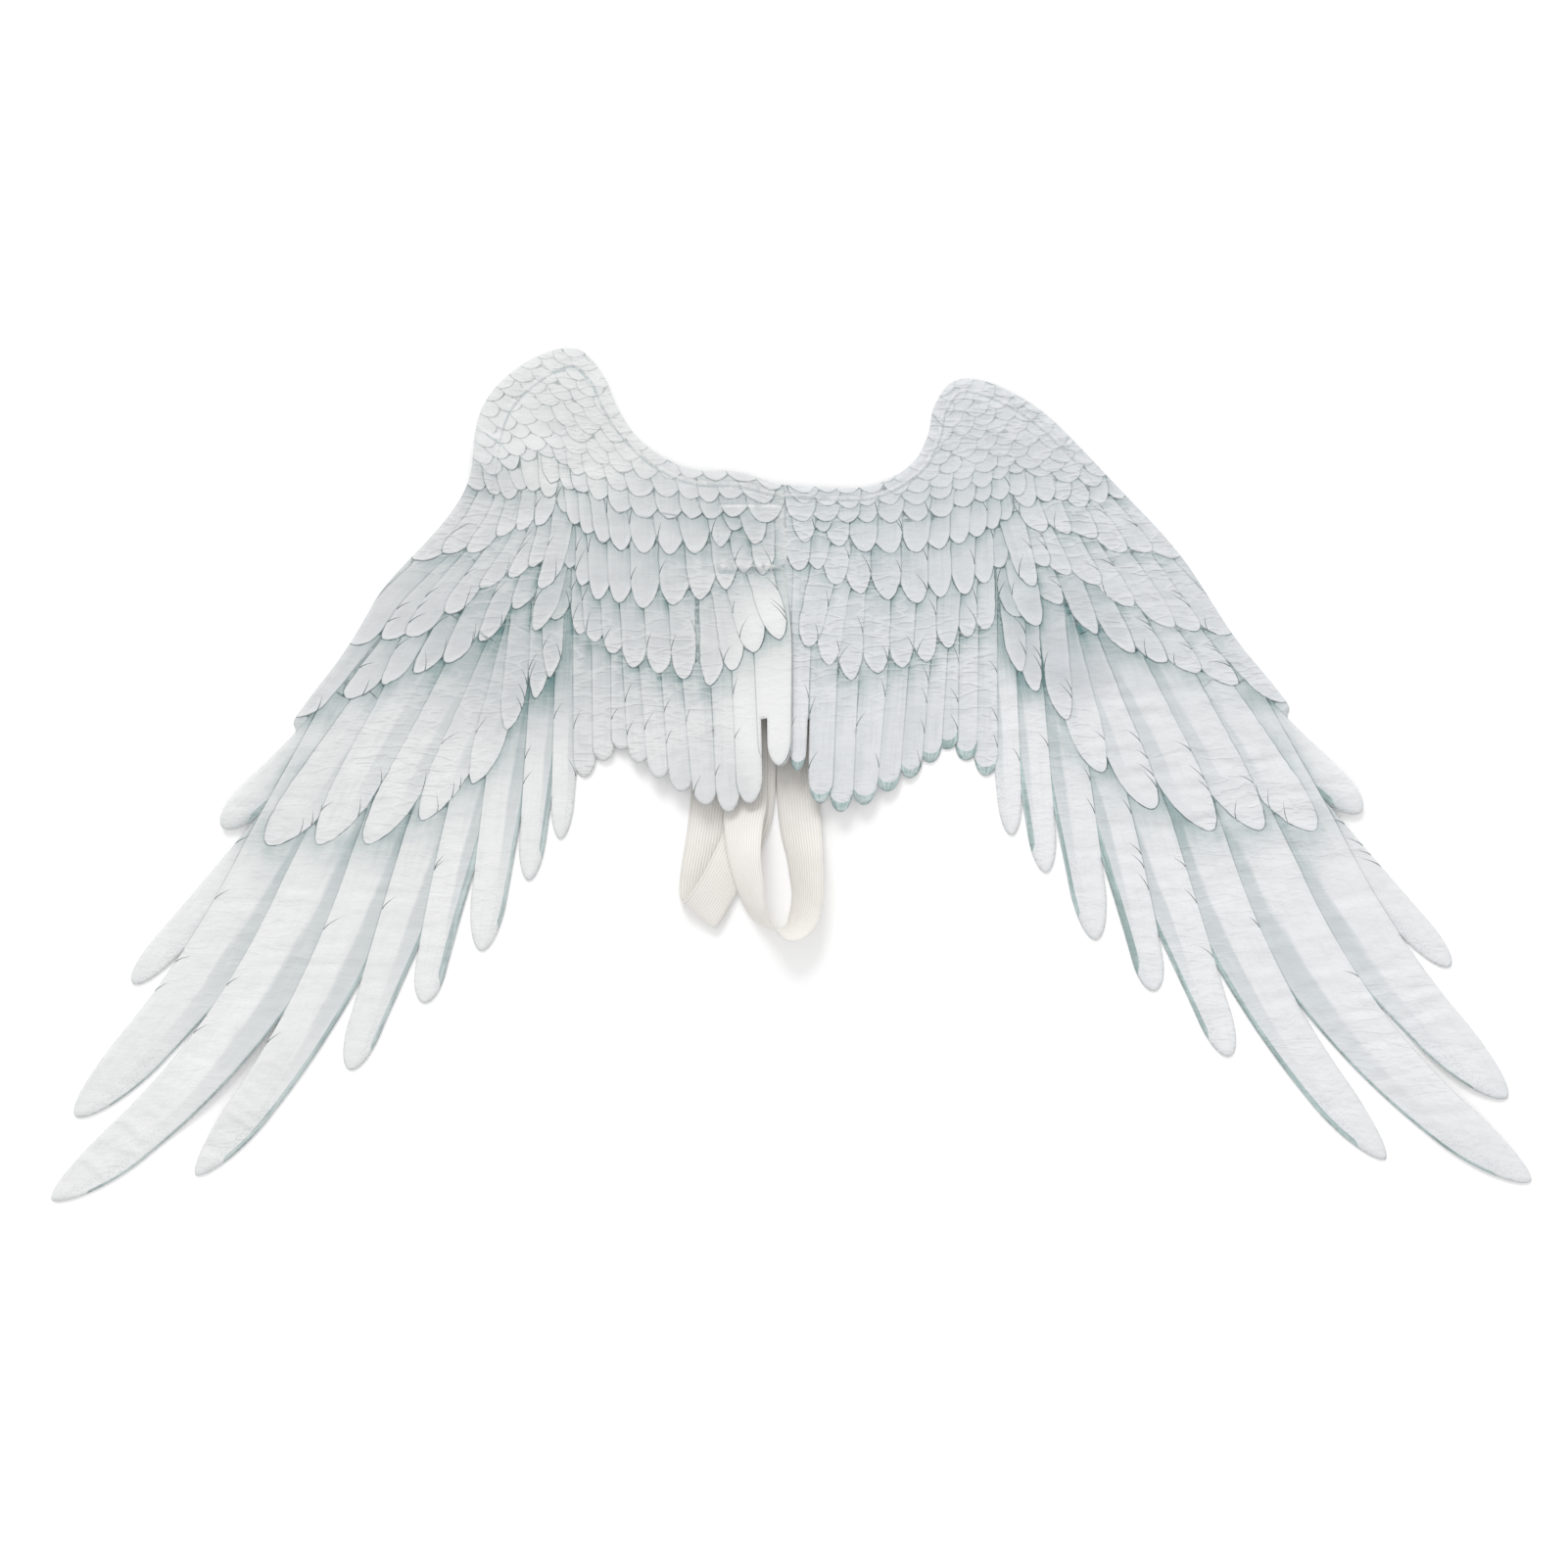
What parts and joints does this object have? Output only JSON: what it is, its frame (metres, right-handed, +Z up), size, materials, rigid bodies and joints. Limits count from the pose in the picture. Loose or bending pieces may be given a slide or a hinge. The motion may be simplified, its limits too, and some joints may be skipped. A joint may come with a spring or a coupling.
{
  "type": "costume wings",
  "caption": "Flat cloth costume wings with a printed feather pattern, cut feather tips along the lower edge, a centre seam and elastic arm loops, worn on the back and laid flat here.",
  "frame": {"origin": "centre of the bounding box on the surface that the wings lie on", "axes": "+X along the span from the wearer's left-hand panel in the picture to the right-hand one, +Y towards the neckline, +Z up out of the printed face"},
  "size_m": [1.0512, 0.6061, 0.0308],
  "materials": {
    "wing_cloth": "matte printed cloth",
    "elastic": "ribbed woven elastic"
  },
  "bodies": {
    "root": {"left_wing": "wing_cloth", "right_wing": "wing_cloth", "left_strap": "elastic", "right_strap": "elastic"}
  },
  "joints": []
}
